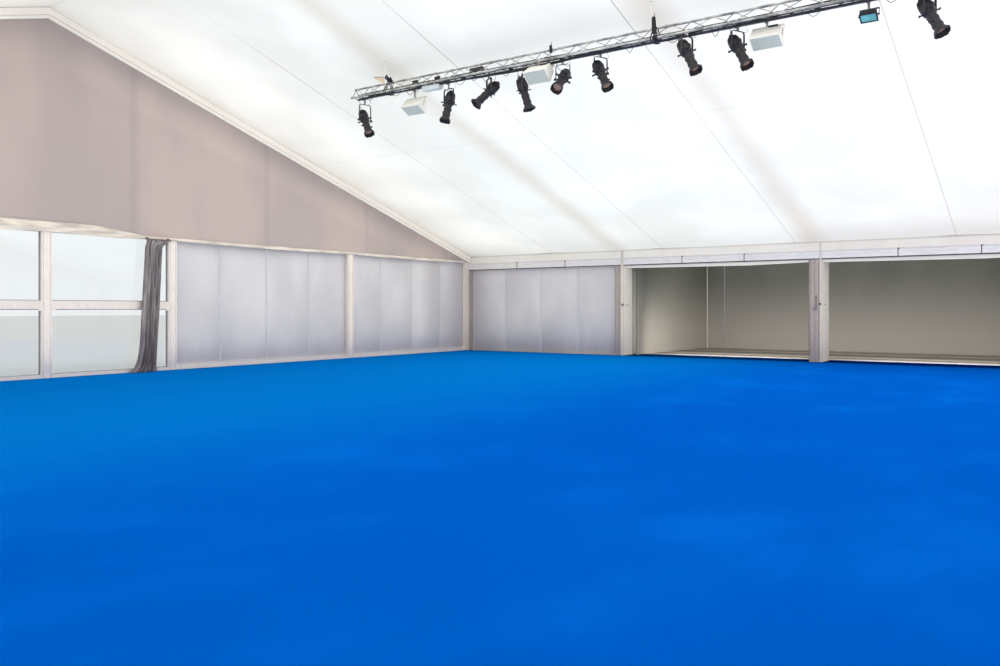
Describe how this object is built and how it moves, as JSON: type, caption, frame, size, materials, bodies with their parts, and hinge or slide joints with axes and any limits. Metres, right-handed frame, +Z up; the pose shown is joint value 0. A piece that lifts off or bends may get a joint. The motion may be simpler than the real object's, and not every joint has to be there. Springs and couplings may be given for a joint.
{
  "type": "marquee tent",
  "caption": "Clear-span event marquee with lined pitched roof, glazed gable, open side annex, carpeted floor and a hung truss with lamps and loudspeakers.",
  "frame": {"origin": "on the ground under the middle of the whole building, annex included", "axes": "+X across the hall towards the annex, +Y along the ridge towards the glazed gable, +Z up"},
  "size_m": [30.98, 20.36, 6.9409],
  "materials": {
    "panel": "grey lined wall panels",
    "striped": "grey boards with dark joints on cassette floor",
    "aluminium": "lilac-grey anodised extrusions",
    "lining": "white flat lining cloth",
    "pvc": "white coated sheeting",
    "taupe": "taupe flat lining cloth",
    "lamp": "black lamp housings",
    "curtain": "grey-mauve gathered cloth",
    "glass": "clear glazing",
    "carpet": "blue needle-felt carpet on cassette floor",
    "steel": "plain aluminium tube",
    "lamp_white": "white loudspeaker cabinets"
  },
  "bodies": {
    "root": {"annex_back_wall_1": "panel", "annex_back_wall_2": "panel", "annex_end_wall_back": "panel", "annex_end_wall_front": "panel", "annex_floor": "striped", "annex_frame_1": "aluminium", "annex_frame_2": "aluminium", "annex_frame_3": "aluminium", "annex_header_1": "lining", "annex_header_2": "lining", "annex_roof_inner": "pvc", "annex_roof_outer": "pvc", "back_gable_frame": "aluminium", "back_gable_lining": "taupe", "back_gable_wall": "pvc", "cable_loom": "lamp", "curtain_left": "curtain", "curtain_right": "curtain", "eave_beam_left": "aluminium", "eave_beam_right": "aluminium", "flood_lamp": "lamp", "frame_1": "aluminium", "frame_2": "aluminium", "frame_3": "aluminium", "frame_4": "aluminium", "frame_5": "aluminium", "front_gable_frame": "aluminium", "front_gable_lining": "taupe", "front_gable_sheet": "pvc", "front_wall_left": "pvc", "front_wall_right": "pvc", "gable_glass_left": "glass", "gable_glass_right": "glass", "gutter": "aluminium", "hall_floor": "carpet", "left_wall_1": "pvc", "left_wall_2": "pvc", "left_wall_3": "pvc", "left_wall_4": "pvc", "lighting_truss": "steel", "loudspeaker_1": "lamp_white", "loudspeaker_2": "lamp_white", "loudspeaker_3": "lamp_white", "right_wall_1": "panel", "right_wall_4": "panel", "roof_cover_left": "pvc", "roof_cover_right": "pvc", "roof_lining_left": "lining", "roof_lining_right": "lining", "side_fascia_left": "lining", "side_fascia_right": "lining", "spot_lamp_1": "lamp", "spot_lamp_2": "lamp", "spot_lamp_3": "lamp", "spot_lamp_4": "lamp", "spot_lamp_5": "lamp", "spot_lamp_6": "lamp", "spot_lamp_7": "lamp", "spot_lamp_8": "lamp", "spot_lamp_9": "lamp"}
  },
  "joints": []
}
